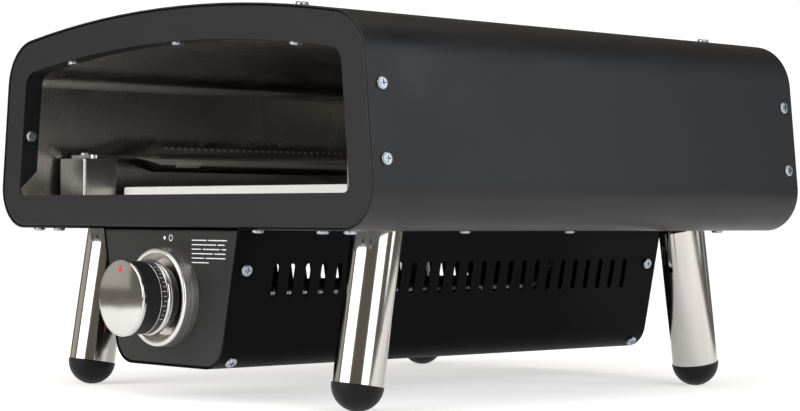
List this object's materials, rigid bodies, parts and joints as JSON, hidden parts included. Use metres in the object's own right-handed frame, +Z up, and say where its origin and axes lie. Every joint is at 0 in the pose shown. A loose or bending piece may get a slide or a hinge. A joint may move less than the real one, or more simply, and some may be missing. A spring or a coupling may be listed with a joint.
{
  "type": "gas pizza oven",
  "caption": "Portable gas pizza oven with an arched sheet metal body, stone floor, tube burner, control knob and folding legs.",
  "frame": {"origin": "on the ground, under the middle of the oven's overall length and width, knob and gas inlet included", "axes": "+X to the right seen from the front, +Y from the oven's mouth towards its back, +Z up"},
  "size_m": [0.4954, 0.568, 0.314],
  "materials": {
    "powder_coat": "satin",
    "bezel_coat": "satin",
    "box_coat": "satin",
    "panel_coat": "satin",
    "liner_steel": "satin",
    "burner_steel": "satin",
    "cordierite": "matte",
    "ceramic_blanket": "matte",
    "leg_chrome": "polished",
    "foot_rubber": "matte",
    "bracket_steel": "satin",
    "screw_zinc": "satin",
    "knob_dish": "satin",
    "knob_chrome": "polished",
    "knob_plastic": "matte",
    "grip_rubber": "matte",
    "pointer_red": "gloss",
    "gas_brass": "satin",
    "valve_aluminium": "satin",
    "igniter_plastic": "matte",
    "button_plastic": "gloss",
    "insulator_ceramic": "gloss",
    "lead_silicone": "matte"
  },
  "bodies": {
    "body": {"air_shutter": "burner_steel", "base_plate": "powder_coat", "bezel_screws": "screw_zinc", "burner_bracket_left": "liner_steel", "burner_bracket_right": "liner_steel", "burner_screws": "screw_zinc", "burner_tube": "burner_steel", "control_box": "box_coat", "control_box_rear": "box_coat", "control_box_screws": "screw_zinc", "control_panel": "panel_coat", "electrode_insulator": "insulator_ceramic", "electrode_rod": "burner_steel", "front_bezel": "bezel_coat", "gas_inlet": "gas_brass", "gas_orifice": "gas_brass", "gas_pipe": "burner_steel", "gas_valve": "valve_aluminium", "igniter_housing": "igniter_plastic", "ignition_lead": "lead_silicone", "insulation": "ceramic_blanket", "knob_bezel": "knob_dish", "leg_bracket_front_left": "bracket_steel", "leg_bracket_front_right": "bracket_steel", "leg_bracket_rear_left": "bracket_steel", "leg_bracket_rear_right": "bracket_steel", "leg_bracket_screws": "screw_zinc", "liner_back": "liner_steel", "liner_floor": "liner_steel", "mixer_tube": "burner_steel", "outer_shell": "powder_coat", "oven_liner": "liner_steel", "rear_panel": "powder_coat", "shell_screws": "screw_zinc", "underside_screws": "screw_zinc"},
    "push_carriage": {"spindle_washer": "bracket_steel"},
    "knob": {"knob_core": "knob_plastic", "knob_ring": "knob_chrome", "knob_grip": "grip_rubber", "knob_cap": "knob_chrome", "knob_pointer": "pointer_red", "valve_spindle": "gas_brass"},
    "igniter_button": {"igniter_button": "button_plastic"},
    "stone": {"pizza_stone": "cordierite"},
    "leg_front_left": {"leg_tube_front_left": "leg_chrome", "leg_foot_front_left": "foot_rubber", "leg_pin_front_left": "bracket_steel"},
    "leg_front_right": {"leg_tube_front_right": "leg_chrome", "leg_foot_front_right": "foot_rubber", "leg_pin_front_right": "bracket_steel"},
    "leg_rear_left": {"leg_tube_rear_left": "leg_chrome", "leg_foot_rear_left": "foot_rubber", "leg_pin_rear_left": "bracket_steel"},
    "leg_rear_right": {"leg_tube_rear_right": "leg_chrome", "leg_foot_rear_right": "foot_rubber", "leg_pin_rear_right": "bracket_steel"}
  },
  "joints": [
    {"name": "leg_fold_front_left", "type": "hinge", "parent": "body", "child": "leg_front_left", "pos_m": [-0.1755, -0.16227, 0.11], "axis": [1, 0, 0], "range_deg": [0, 100]},
    {"name": "leg_fold_front_right", "type": "hinge", "parent": "body", "child": "leg_front_right", "pos_m": [0.1755, -0.16227, 0.11], "axis": [1, 0, 0], "range_deg": [0, 100]},
    {"name": "leg_fold_rear_left", "type": "hinge", "parent": "body", "child": "leg_rear_left", "pos_m": [-0.1755, 0.17977, 0.11], "axis": [-1, 0, 0], "range_deg": [0, 100]},
    {"name": "leg_fold_rear_right", "type": "hinge", "parent": "body", "child": "leg_rear_right", "pos_m": [0.1755, 0.17977, 0.11], "axis": [-1, 0, 0], "range_deg": [0, 100]},
    {"name": "knob_push", "type": "slide", "parent": "body", "child": "push_carriage", "axis": [0, 1, 0], "range_m": [0, 0.004], "stiffness_N_per_m": 1500},
    {"name": "knob_turn", "type": "hinge", "parent": "push_carriage", "child": "knob", "pos_m": [0, -0.257, 0.082], "axis": [0, -1, 0], "range_deg": [0, 200]},
    {"name": "igniter_press", "type": "slide", "parent": "body", "child": "igniter_button", "axis": [0.9799, 0, 0.1994], "range_m": [0, 0.003], "stiffness_N_per_m": 300},
    {"name": "stone_lift", "type": "slide", "parent": "body", "child": "stone", "axis": [0, 0, 1], "range_m": [0, 0.03]}
  ]
}
